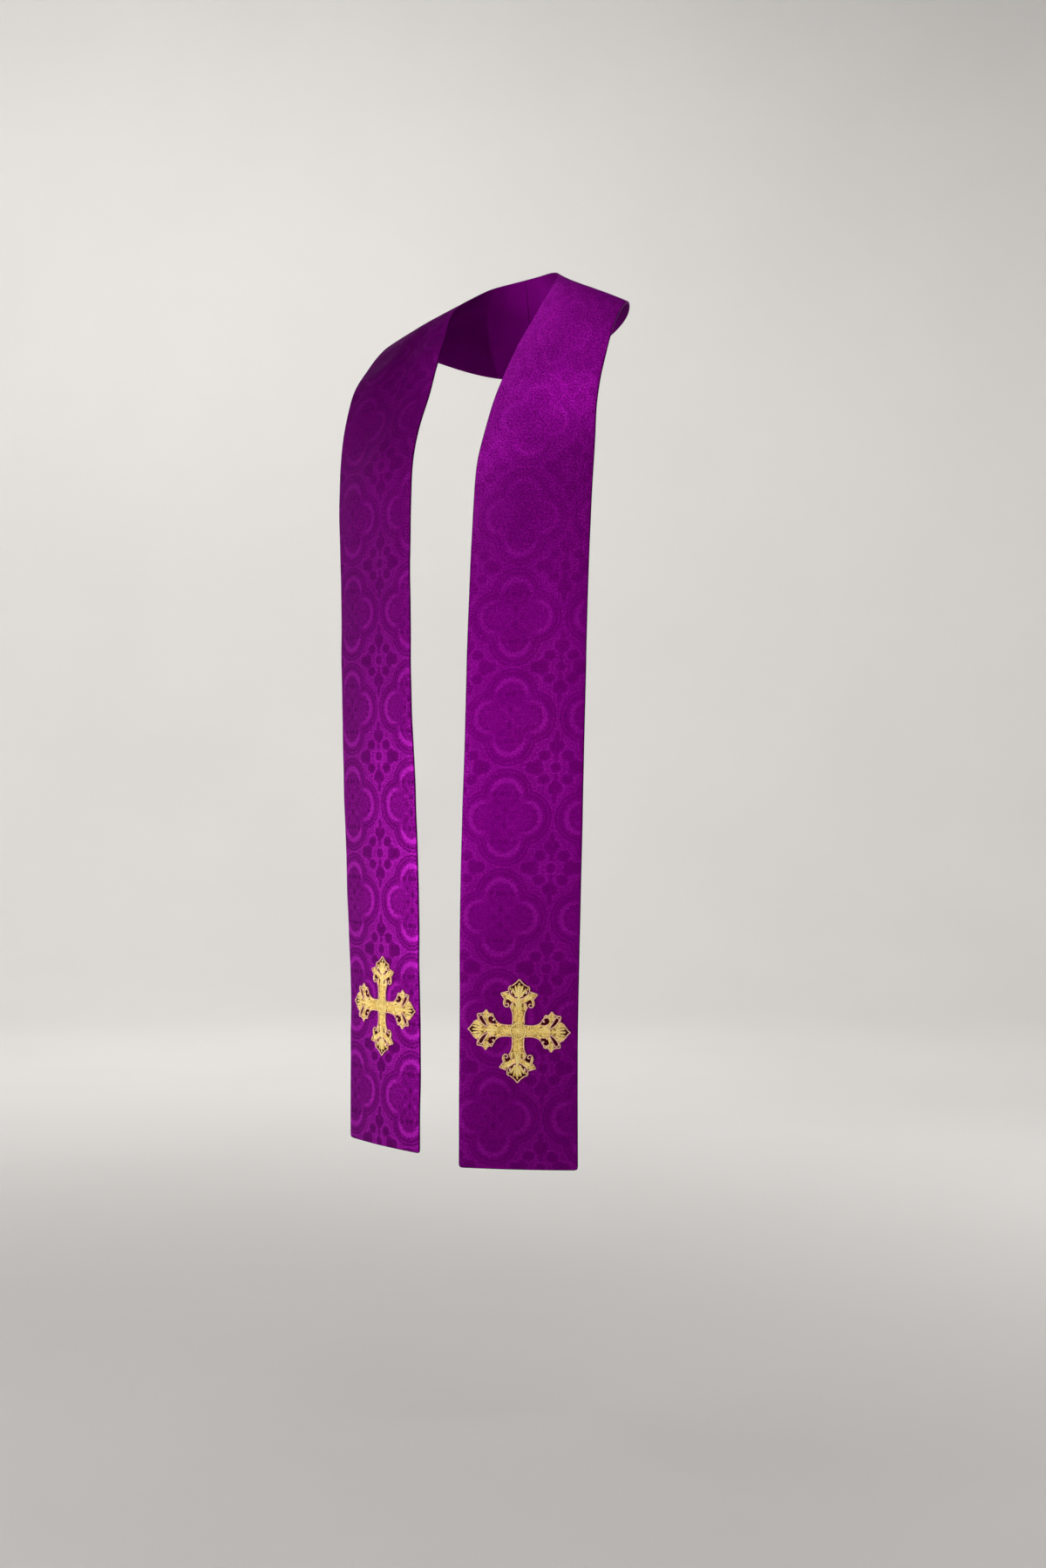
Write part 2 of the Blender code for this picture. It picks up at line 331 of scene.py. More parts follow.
UPRIGHT_ARM = (
    Stroke(SHADE, 0, 11.6, 0.6, 0.1, ((38.5, 0), (46, 0), (54, 0), (62, 0))),
    Stroke(SHADE, 1, 2.8, 0.6, 0.5, ((28.5, 11.2), (32.5, 11.8), (36.0, 12.6), (39.5, 14.0))),
    Stroke(GROUND, 0, 7.3, 1.0, 1, ((7, 0), (14, 0), (22, 0), (29, 0))),
    Stroke(GROUND, 0, 8.4, 1.0, 0.6, ((23, 0), (29, 0), (35, 0), (41, 0))),
    Stroke(GROUND, 1, 3.6, 1.0, 0.3, ((34.0, 3.0), (38.2, 7.0), (41.4, 12.0), (44.4, 20.0))),
    Stroke(GROUND, 0, 4.6, 0.9, 0.3, ((40, 0), (46, 0), (51, 0), (57.6, 0))),
    Stroke(FILL, 0, 2.3, 2.0, 0.35, ((25, 0), (32, 0), (38, 0), (45, 0))),
    Stroke(FILL, 0, 1.8, 2.1, 0.5, ((41, 0), (47, 0), (53, 0), (59.2, 0))),
    Stroke(FILL, 1, 1.6, 1.9, 0.4, ((41.2, 0.8), (46.6, 2.2), (51.4, 3.7), (56.0, 4.9))),
    Stroke(FILL, 1, 1.6, 1.9, 0.4, ((41.8, 1.8), (45.2, 4.4), (48.8, 6.8), (52.4, 8.6))),
    Stroke(CORD, 1, 1.1, 2.0, 0.7, ((41.4, 1.8), (42.6, 3.6), (43.9, 5.5))),
    Stroke(CORD, 1, 1.2, 2.1, 0.8, ((45.5, 8.0), (46.8, 9.2), (48.4, 9.2), (49.8, 8.2))),
    Stroke(FILL, 1, 0.9, 1.8, 0.5, ((49.8, 9.8), (51.6, 10.9), (53.2, 10.6))),
    Stroke(SHADE, 1, 0.55, 2.2, 0.4, ((55.0, 0.9), (56.2, 1.0), (57.3, 0.5))),
    Stroke(CORD, 1, 0.75, 1.9, 0.6, ((38.8, 0.8), (40.0, 5.0), (42.2, 8.8), (45.0, 11.4), (48.4, 12.4))),
    Stroke(FILL, 1, 1.7, 1.9, 0.1, ((37.2, 7.0), (39.4, 12.4), (41.4, 16.6), (44.4, 21.0))),
    Stroke(FILL, 1, 1.8, 1.9, 0.1, ((38.2, 4.4), (42.0, 10.0), (44.8, 15.0), (45.4, 20.4))),
    Stroke(SHADE, 1, 0.45, 2.2, 0.5, ((43.4, 12.6), (44.4, 13.8), (44.9, 15.4))),
    Stroke(SHADE, 1, 0.5, 2.2, 0.5, ((40.6, 16.4), (41.6, 17.8), (42.6, 19.0))),
    Stroke(FILL, 1, 1.5, 1.9, 0.2, ((24.0, 2.4), (28, 3.2), (31.6, 3.0), (35.0, 1.6))),
    Stroke(FILL, 1, 1.2, 1.9, 0.3, ((31.4, 1.2), (34.2, 2.8), (36.4, 5.0))),
    Stroke(FILL, 1, 1.2, 2.0, 0.3, ((34.6, 0.8), (37.2, 2.4), (39.2, 5.0))),
    Stroke(FILL, 1, 1.5, 1.9, 0.3, ((25.0, 6.6), (28.4, 7.6), (31.6, 7.6), (34.0, 6.4))),
    Stroke(SHADE, 1, 0.6, 2.1, 0.4, ((27.8, 4.2), (30.4, 4.3), (32.6, 5.0), (33.9, 6.4))),
    Stroke(CORD, 1, 0.7, 1.9, 0.8, ((28.0, 9.8), (31.0, 9.8), (33.8, 8.4), (35.1, 5.8), (34.2, 3.4))),
    Stroke(FILL, 1, 1.1, 1.8, 0.3, ((35.6, 7.6), (36.8, 9.8), (36.4, 11.0))),
    Stroke(*OUTLINE, ((7.8, 7.4), (15.5, 7.0), (20.9, 7.5), (25.6, 8.8), (30.0, 11.3))),
    Stroke(FILL, 1, 1.1, 1.7, 0.4, ((39.4, 14.8), (37.0, 16.8), (33.8, 17.4), (31.2, 16.6))),
    Stroke(
        CORD, 1, 0.8, 1.75, 1,
        ((39.2, 17.4), (36.6, 18.7), (33.4, 19.1), (30.6, 18.1), (29.2, 15.8), (29.8, 13.4), (31.9, 12.6),
         (33.4, 13.9), (32.7, 15.5)),
    ),
    Stroke(CORD, 1, 0.75, 1.7, 1, ((38.8, 16.8), (40.2, 19.2), (42.2, 20.8), (45.4, 23.0))),
    Stroke(*OUTLINE, ((45.4, 23.0), (46.3, 19.6), (47.4, 16.2), (48.4, 12.6))),
    Stroke(*OUTLINE, ((48.4, 12.6), (50.6, 13.0), (53.0, 12.8), (54.5, 11.4), (55.1, 9.2))),
    Stroke(*OUTLINE, ((55.1, 9.2), (56.8, 6.6), (58.9, 4.0), (61.0, 1.9), (63.6, 0))),
)

LEVEL_ARM = (
    Stroke(SHADE, 0, 5.0, 0.6, 0.1, ((54.5, 0), (57.5, 0), (60.5, 0), (63.6, 0))),
    Stroke(SHADE, 1, 2.7, 0.6, 0.5, ((38.4, 3.0), (41.8, 6.6), (45.6, 11.6), (49.2, 16.4))),
    Stroke(SHADE, 1, 4.6, 0.6, 0.6, ((28.8, 9.6), (32.6, 11.2), (36.0, 11.6), (39.6, 10.8))),
    Stroke(SHADE, 1, 1.8, 0.6, 0.3, ((47.2, 18.6), (49.6, 18.6), (52.2, 18.4))),
    Stroke(SHADE, 1, 3.0, 0.6, 0.4, ((33.0, 18.2), (36.8, 18.6), (41.0, 19.0), (45.6, 18.4))),
    Stroke(SHADE, 1, 6.0, 0.6, 0.3, ((43.4, 1.6), (47.0, 4.2), (51.4, 6.0), (57.0, 5.0))),
    Stroke(GROUND, 0, 6.9, 1.0, 1, ((7, 0), (13, 0), (20, 0), (26, 0))),
    Stroke(GROUND, 0, 6.4, 1.0, 0.6, ((22, 0), (28, 0), (34, 0), (41, 0))),
    Stroke(GROUND, 1, 2.4, 1.0, 0.6, ((20.0, 4.4), (24.0, 5.4), (27.4, 7.2), (29.6, 8.2))),
    Stroke(GROUND, 1, 2.8, 0.9, 0.5, ((45.0, 3.4), (48.8, 7.6), (53.0, 9.0), (58.0, 6.6))),
    Stroke(GROUND, 1, 2.0, 1.0, 0.3, ((34.5, 3.4), (37.6, 7.0), (39.4, 11.0), (39.8, 15.0))),
    Stroke(GROUND, 1, 2.9, 1.0, 0.1, ((40.0, 12.4), (41.0, 16.4), (41.4, 20.4), (41.3, 24.6))),
    Stroke(GROUND, 0, 2.4, 1.0, 0.4, ((39, 0), (44, 0), (49, 0), (54, 0))),
    Stroke(FILL, 0, 2.2, 2.0, 0.3, ((25, 0), (31, 0), (37, 0), (43.5, 0))),
    Stroke(FILL, 1, 1.7, 1.9, 0.2, ((26.5, 2.6), (31, 4.2), (35.6, 4.2), (39.8, 2.4))),
    Stroke(FILL, 1, 1.2, 1.8, 0.3, ((29.4, 6.0), (32.6, 6.9), (35.6, 6.2), (38.2, 4.4))),
    Stroke(SHADE, 1, 0.8, 1.7, 0.7, ((27.4, 4.6), (28.4, 5.2), (29.4, 5.2))),
    Stroke(FILL, 0, 1.5, 2.0, 0.6, ((42, 0), (48, 0), (53, 0), (59.4, 0))),
    Stroke(FILL, 1, 1.55, 1.9, 0.5, ((46.6, 1.7), (50.4, 2.9), (54.6, 3.8), (59.0, 4.2))),
    Stroke(FILL, 1, 1.7, 1.9, 0.5, ((46.4, 3.4), (49.8, 5.4), (53.2, 6.7), (57.4, 7.0))),
    Stroke(FILL, 1, 1.75, 1.9, 0.4, ((46.4, 5.2), (48.8, 7.8), (51.6, 9.4), (55.2, 9.4))),
    Stroke(FILL, 1, 0.9, 1.8, 0.3, ((47.6, 9.2), (49.0, 11.2), (50.8, 12.0))),
    Stroke(FILL, 1, 1.2, 1.8, 0.3, ((40.6, 1.8), (43.2, 2.6), (46.0, 3.4), (48.0, 4.6))),
    Stroke(SHADE, 1, 0.95, 2.0, 0.6, ((43.4, 2.4), (45.0, 2.9), (46.8, 3.5))),
    Stroke(SHADE, 1, 0.5, 2.0, 0.5, ((48.2, 4.0), (51.2, 5.0), (54.6, 5.8))),
    Stroke(SHADE, 1, 0.55, 2.0, 0.6, ((47.2, 6.8), (48.4, 7.6), (49.4, 8.8))),
    Stroke(FILL, 1, 1.65, 1.9, 0.1, ((40.2, 12.6), (38.9, 16.4), (39.2, 19.8), (41.0, 23.6))),
    Stroke(FILL, 1, 1.65, 1.9, 0.1, ((40.8, 12.8), (43.2, 17.0), (43.4, 20.2), (41.5, 23.6))),
    Stroke(FILL, 1, 1.1, 1.8, 0.2, ((36.6, 4.8), (39.2, 7.6), (40.4, 10.4), (40.4, 13.4))),
    Stroke(SHADE, 1, 0.5, 2.1, 0.5, ((43.3, 18.4), (43.9, 19.4), (43.6, 20.6))),
    Stroke(SHADE, 1, 0.45, 2.1, 0.5, ((39.6, 17.2), (39.3, 18.6), (39.7, 19.8))),
    Stroke(FILL, 1, 1.0, 1.8, 0.3, ((33.6, 18.7), (35.4, 18.7), (37.8, 18.2))),
    Stroke(CORD, 1, 0.65, 1.8, 0.8, ((31.0, 15.2), (33.0, 16.8), (35.6, 17.3), (37.8, 16.2), (39.4, 13.4))),
    Stroke(CORD, 1, 1.3, 2.1, 0.9, ((30.2, 13.6), (31.4, 12.7), (33.0, 11.7))),
    Stroke(CORD, 1, 1.4, 2.0, 0.8, ((33.8, 6.6), (35.6, 7.6), (36.6, 9.6))),
    Stroke(CORD, 1, 0.65, 1.8, 0.8, ((28.4, 7.6), (29.8, 6.8), (31.4, 7.6), (33.0, 7.2))),
    Stroke(*OUTLINE, ((7.8, 7.2), (14, 6.6), (18, 6.8), (22, 7.5), (26.0, 9.2), (29.0, 12.2))),
    Stroke(*OUTLINE, ((29.0, 12.2), (30.4, 14.6), (32.0, 17.0), (32.5, 19.0), (34.4, 20.0), (36.6, 19.6))),
    Stroke(*OUTLINE, ((36.6, 19.6), (38.4, 20.8), (39.8, 22.6), (41.2, 25.0))),
    Stroke(*OUTLINE, ((41.2, 25.0), (42.9, 22.4), (45.0, 20.4), (47.6, 19.6), (52.8, 19.2))),
    Stroke(*OUTLINE, ((52.8, 19.2), (52.3, 16.8), (51.9, 14.6), (51.2, 12.6))),
    Stroke(
        *OUTLINE,
        ((50.6, 12.2), (53.4, 11.3), (55.8, 9.7), (58.0, 7.2), (60.2, 4.4), (62.0, 2.0), (65.0, 0)),
    ),
    Stroke(
        CORD, 1, 0.8, 1.9, 0.9,
        ((38.6, 3.0), (42.2, 4.8), (45.6, 7.2), (48.5, 10.4), (50.6, 14.4), (49.8, 17.2)),
    ),
    Stroke(
        CORD, 1, 0.8, 1.9, 0.9,
        ((38.4, 3.6), (40.0, 6.9), (42.2, 10.8), (44.5, 14.6), (47.0, 17.6), (49.8, 17.2)),
    ),
)

SHADE_SPILL, SHADE_RISE = 0.5, 0.42  # how far the painted shadow reaches out beside a cord, and its height
VEIN_DEPTH, VEIN_WIDTH = 0.45, 0.2  # of the hollow down a broad leaf, as shares of its height and width
VEIN_FROM = 1.1  # half width of the narrowest leaf with a vein
LEAST_TAPER = 0.06  # at a pointed end, so that it keeps a little width
BROAD_FROM = 2.4  # half width from which a stroke's underside follows the band
ROW_STEP, FEWEST_ROWS, MOST_ROWS = 0.7, 6, 60  # of the points along a stroke
COLUMNS, NARROW_COLUMNS = 11, 7  # points across a leaf that may have a vein, and across a narrower stroke
BRAID_STEP = 2.7  # between the slanting leaves that cover an arm
BRAID_FIRST, BRAID_LAST = 10.2, 26
MEDALLION_RADIUS = 10.6
MEDALLION_RIBS = 22
MEDALLION_TOP = 2.4  # height of its heart over the band
HOLLOW_LIFT, PROUD_LIFT = 0.7, 1.8  # heights at which the threads are painted darkest, as shade in the hollows, and palest


def smooth_path(path, points):
    """Evenly spaced points on the natural cubic spline through a path, and its length."""
    places = walked(path)
    fine = spline(places, path, np.linspace(0, places[-1], points * 4))
    steps = walked(fine)
    even = np.linspace(0, steps[-1], points)
    return np.stack([np.interp(even, steps, fine[:, 0]), np.interp(even, steps, fine[:, 1])], 1), steps[-1]


def stroke_mesh(stroke):
    """One raised stroke on the flat cross: points (reach, aside, lift), faces and thread places.

    A point at share s of the path and c from -1 to 1 across it lies aside by c * width * taper(s) and
    stands rise * sqrt(1 - c^2) * taper(s)^0.5 over the band, less a hollow at c = 0 on broad leaves.
    taper is (sin pi s)^0.6, filled out to 1 by blunt.
    """
    across_points = COLUMNS if stroke.width >= VEIN_FROM else NARROW_COLUMNS
    path = np.array(stroke.path, float)
    rows = int(np.clip(walked(path)[-1] / ROW_STEP, FEWEST_ROWS, MOST_ROWS))
    middle, length = smooth_path(path, rows)
    ahead = np.gradient(middle, axis=0)
    ahead /= np.linalg.norm(ahead, axis=1)[:, None]
    square = np.stack([-ahead[:, 1], ahead[:, 0]], 1)
    share = np.linspace(0, 1, rows)
    point = np.sin(np.pi * share) ** 0.6
    end = np.minimum(share, 1 - share) * length / stroke.width
    cut = np.sqrt(1 - (1 - np.clip(end, 0, 1)) ** 2)
    taper = np.maximum((1 - stroke.blunt) * point + stroke.blunt * cut, LEAST_TAPER)

    turn = np.linspace(-np.pi / 2, np.pi / 2, across_points)
    veined = stroke.finish == FILL and stroke.width >= VEIN_FROM
    groove = VEIN_DEPTH * veined * np.exp(-((np.sin(turn) / VEIN_WIDTH) ** 2))
    offset, raised = np.sin(turn), np.cos(turn) * (1 - groove)
    if stroke.width >= BROAD_FROM:
        under = np.linspace(1, -1, across_points)[1:-1]
        offset, raised = np.concatenate((offset, under)), np.concatenate((raised, 0 * under))
    aside = offset[None, :] * (stroke.width * taper)[:, None]
    lift = TRIM_GAP + (stroke.rise - TRIM_GAP) * raised[None, :] * np.sqrt(taper)[:, None]
    flat = middle[:, None, :] + square[:, None, :] * aside[..., None]
    points = np.concatenate((flat, lift[..., None]), -1).reshape(-1, 3)
    thread = np.stack([np.broadcast_to((share * length)[:, None], aside.shape), aside], -1).reshape(-1, 2)
    columns = len(offset)
    start_cap = list(range(columns))
    end_cap = list(range((rows - 1) * columns, rows * columns))[::-1]
    return points, ring_quads(rows, columns)[:, ::-1].tolist() + [start_cap, end_cap], thread


def mirrored(points, faces, thread):
    """The same stroke on the other half of an arm, its faces still pointing outwards."""
    return points * (1, -1, 1), [face[::-1] for face in faces], thread


def medallion():
    """Polar grid of the middle boss: lift is a low dome with ribs, a rim cord and a small raised heart."""
    rings, spokes = 34, 176
    radius = np.linspace(0.0, 1.0, rings)[1:] * MEDALLION_RADIUS
    angle = np.linspace(0, 2 * np.pi, spokes, endpoint=False)
    reach, turn = np.meshgrid(radius, angle, indexing="ij")
    dome = 1.25 + 0.2 * (1 - (reach / MEDALLION_RADIUS) ** 2)
    fade = np.clip((reach - 1.8) / 3.0, 0, 1) * np.clip((9.0 - reach) / 1.0, 0, 1)
    ribs = 0.45 * np.cos(MEDALLION_RIBS * turn) * fade
    rim = 0.55 * np.sqrt(np.clip(1 - ((reach - 9.8) / 0.8) ** 2, 0, 1))
    ring = -0.5 * np.exp(-(((reach - 8.5) / 0.4) ** 2))
    heart = 0.7 * np.exp(-((reach / 1.7) ** 2))
    lift = dome + ribs + rim + ring + heart
    lift[-1] = TRIM_GAP
    flat = np.stack([reach * np.cos(turn), reach * np.sin(turn), lift], -1).reshape(-1, 3)
    thread = np.stack([reach, turn * 6], -1).reshape(-1, 2)
    points = np.concatenate((flat, [[0, 0, MEDALLION_TOP], [0, 0, TRIM_GAP]]))
    thread = np.concatenate((thread, [[0, 0], [0, 0]]))
    spoke, following = ring_pairs(spokes)
    top, under = len(flat), len(flat) + 1
    last = (rings - 2) * spokes
    faces = ring_quads(rings - 1, spokes)[:, ::-1].tolist()
    faces += np.stack([np.full(spokes, top), spoke, following], 1).tolist()
    faces += np.stack([np.full(spokes, under), last + following, last + spoke], 1).tolist()
    return points, faces, thread, np.full(len(faces), FILL)


def braid_strokes():
    """Slanting leaves laid in pairs along an arm, each one step further out."""
    reaches = np.arange(BRAID_FIRST, BRAID_LAST, BRAID_STEP)
    return [
        Stroke(FILL, 1, 0.85, 1.75, 0.15, ((r, 0.3), (r + 1.8, 1.9), (r + 3.0, 3.7), (r + 3.4, 5.5)))
        for r in reaches
    ]


def flat_cross():
    """A whole flat cross: points, faces, thread places and the finish of each face."""
    parts = [medallion()]
    for quarter in range(4):
        turn = np.pi / 2 * quarter
        arm = UPRIGHT_ARM if quarter % 2 == 0 else LEVEL_ARM
        # Painted shadow: a dark stroke a little wider than each outlining cord lies under it.
        painted_cord_shadows = [
            stroke._replace(finish=SHADE, width=stroke.width + SHADE_SPILL, rise=SHADE_RISE)
            for stroke in arm
            if stroke.finish == CORD and stroke.blunt == 1
        ]
        for stroke in (*painted_cord_shadows, *arm, *braid_strokes()):
            made = stroke_mesh(stroke)
            for points, faces, thread in (made, mirrored(*made))[: 1 + stroke.pair]:
                turned = points.copy()
                turned[:, 0] = points[:, 0] * np.cos(turn) - points[:, 1] * np.sin(turn)
                turned[:, 1] = points[:, 0] * np.sin(turn) + points[:, 1] * np.cos(turn)
                parts.append((turned, faces, thread, np.full(len(faces), stroke.finish)))
    points, faces, threads, finishes = zip(*parts)
    starts = np.cumsum([0] + [len(part) for part in points])
    joined = [[corner + start for corner in face] for start, part in zip(starts, faces) for face in part]
    return np.concatenate(points), joined, np.concatenate(threads), np.concatenate(finishes)


# ---------------------------------------------------------------- finishes


class Draft:
    """Adds nodes to a tree and hands back their output sockets, so that a pattern reads as sums."""

    def __init__(self, tree):
        self.tree = tree

    def node(self, kind, *values, out=0, **settings):
        """One output of a new node: values go to its inputs in order, settings to its options."""
        made = self.tree.nodes.new(kind)
        for key, value in settings.items():
            setattr(made, key, value)
        for socket, value in zip([s for s in made.inputs if s.enabled], values):
            self.feed(socket, value)
        return made.outputs[out]

    def feed(self, socket, value):
        """Links a socket to another's output or gives it a plain value. None leaves it as it is."""
        if isinstance(value, bpy.types.NodeSocket):
            self.tree.links.new(value, socket)
        elif value is not None:
            socket.default_value = value

    def math(self, operation, *values):
        return self.node("ShaderNodeMath", *values, operation=operation)

    def add(self, *values):
        total = values[0]
        for value in values[1:]:
            total = self.math("ADD", total, value)
        return total

    def times(self, *values):
        total = values[0]
        for value in values[1:]:
            total = self.math("MULTIPLY", total, value)
        return total

    def less(self, value, taken):
        return self.math("SUBTRACT", value, taken)

    def rise(self, value, low, high, to_low=0.0, to_high=1.0):
        """Smooth step of value from low to high."""
        ends = low, high, to_low, to_high
        return self.node("ShaderNodeMapRange", value, *ends, interpolation_type="SMOOTHSTEP", clamp=True)

    def line(self, distance, width, soft):
        """1 on a line of this width at distance 0, falling to 0 over soft."""
        return self.rise(self.math("ABSOLUTE", distance), width / 2 + soft, width / 2 - soft / 2)

    def join(self, x, y, z=0.0):
        return self.node("ShaderNodeCombineXYZ", x, y, z)

    def split(self, vector):
        """The first two parts of a vector."""
        made = self.tree.nodes.new("ShaderNodeSeparateXYZ")
        self.feed(made.inputs[0], vector)
        return made.outputs[0], made.outputs[1]

    def far(self, vector, place):
        """Distance of a vector from a place."""
        return self.node("ShaderNodeVectorMath", vector, place, operation="DISTANCE", out=1)

    def blend(self, share, first, second):
        """The first value where share is 0 and the second where it is 1."""
        return self.node("ShaderNodeMix", share, first, second, data_type="FLOAT")

    def noise(self, vector, scale, detail=2.0, rough=0.5):
        return self.node("ShaderNodeTexNoise", vector, scale, detail, rough, noise_dimensions="3D")

    def wander(self, vector, scale, rough):
        """Noise of three parts of its own, for moving a place about."""
        return self.node("ShaderNodeTexNoise", vector, scale, 2.0, rough, out=1)

    def scaled(self, vector, start, scale):
        """A place stretched by scale and moved to start."""
        return self.node("ShaderNodeMapping", vector, start, (0, 0, 0), scale)

    def ramp(self, value, *stops):
        """Colour of a value, blended between stops of (position, colour)."""
        made = self.tree.nodes.new("ShaderNodeValToRGB")
        self.feed(made.inputs[0], value)
        elements = made.color_ramp.elements
        first, *between, last = stops
        for element, (position, colour) in zip(elements, (first, last)):
            element.position, element.color = position, (*colour, 1)
        for position, colour in between:
            elements.new(position).color = (*colour, 1)
        return made.outputs[0]

    def surface(self, **values):
        """Sets or links the sockets of a material's shader, each named in lower case."""
        shader = self.tree.nodes["Principled BSDF"]
        for name, value in values.items():
            title = name.replace("_", " ").title().replace("Ior", "IOR")
            self.feed(shader.inputs[title], value)


# The woven figure, in mm. Each medallion has four lobes, and its lines are rings round the middle of the
# nearest one.
REPEAT_ACROSS, REPEAT_ALONG = 119.5, 122.5
LOBE_ACROSS, LOBE_ALONG = 25.2, 27.2  # from a medallion's middle to the middle of a lobe
ROSE, SHELL_RAYS, BROAD_RING, THIN_RING = 9.5, 13, 18.8, 21.4  # rings in a lobe
INNER_LINE, FRAME, BEADS, OUTER_LINE, EDGE_LINE = 26.6, 29.0, 29.3, 31.8, 33.4  # rings of the beaded frame
INSIDE_FRAME, OUTSIDE_FRAME = (27.4, 25.6), (32.2, 34.0)  # where the parts inside and outside it begin
STAR_RING = 7.4  # of dots
LACE_STEP = 0.92  # turn of the lace's waves for each mm
ROUGHENED = 4.4  # by which thread steps move the figure's edges
MIDDLE_TONE = 0.42  # of the figure, between its darkest and brightest threads
DARKEST_LEAF = -0.36

# Leaves and florets of the woven figure: middle (across, along) in mm, half sizes, and how much lighter
# or darker each is. The first table counts from a medallion's middle, the second from a star's.
Leaf = namedtuple("Leaf", "across along half_across half_along tone")
MEDALLION_LEAVES = (
    Leaf(0, 9, 3.2, 4.6, -0.30),
    Leaf(7.2, 0, 3.2, 3.0, -0.20),
    Leaf(9.5, 10.5, 4.2, 2.6, 0.16),
    Leaf(3.6, 29.5, 4.2, 3.4, -0.30),
    Leaf(15.5, 29, 5.2, 3.6, -0.22),
    Leaf(10, 19.5, 3.6, 3.2, -0.16),
    Leaf(35, 28.2, 4.4, 3.0, -0.26),
    Leaf(0, 36.5, 9.0, 2.4, -0.10),
    Leaf(38.5, 8.2, 3.4, 1.9, -0.16),
    Leaf(34, 15, 3.0, 2.4, -0.14),
    Leaf(40.5, 0, 2.6, 1.9, -0.10),
    Leaf(30, 5.5, 3.6, 2.2, 0.10),
)
STAR_LEAVES = (
    Leaf(4.4, 26.5, 4.8, 6.2, -0.34),
    Leaf(0, 21.5, 5.6, 5.6, -0.30),
    Leaf(0, 37, 3.0, 7.5, -0.26),
    Leaf(14.4, 14.4, 7.2, 6.2, -0.34),
    Leaf(22.5, 2.2, 7.0, 7.2, -0.30),
    Leaf(30.5, 1.5, 7.0, 5.4, -0.34),
    Leaf(0, 0, 6.0, 6.2, -0.28),
    Leaf(0, 12, 2.8, 4.4, -0.18),
)


def leaf_fields(draw, leaves, x, y, ragged):
    """Sum of the leaves' tones, each where its elliptic distance is under about 1, and the least distance."""
    tones, nearest = [], 9.0
    for leaf in leaves:
        off_x = draw.times(draw.less(x, leaf.across), 1 / leaf.half_across)
        off_y = draw.times(draw.less(y, leaf.along), 1 / leaf.half_along)
        away = draw.add(draw.far(draw.join(off_x, off_y), (0, 0, 0)), ragged)
        tones.append(draw.rise(away, 1.1, 0.7, 0.0, leaf.tone))
        nearest = draw.math("MINIMUM", nearest, away)
    return draw.math("MAXIMUM", draw.add(*tones), DARKEST_LEAF), nearest


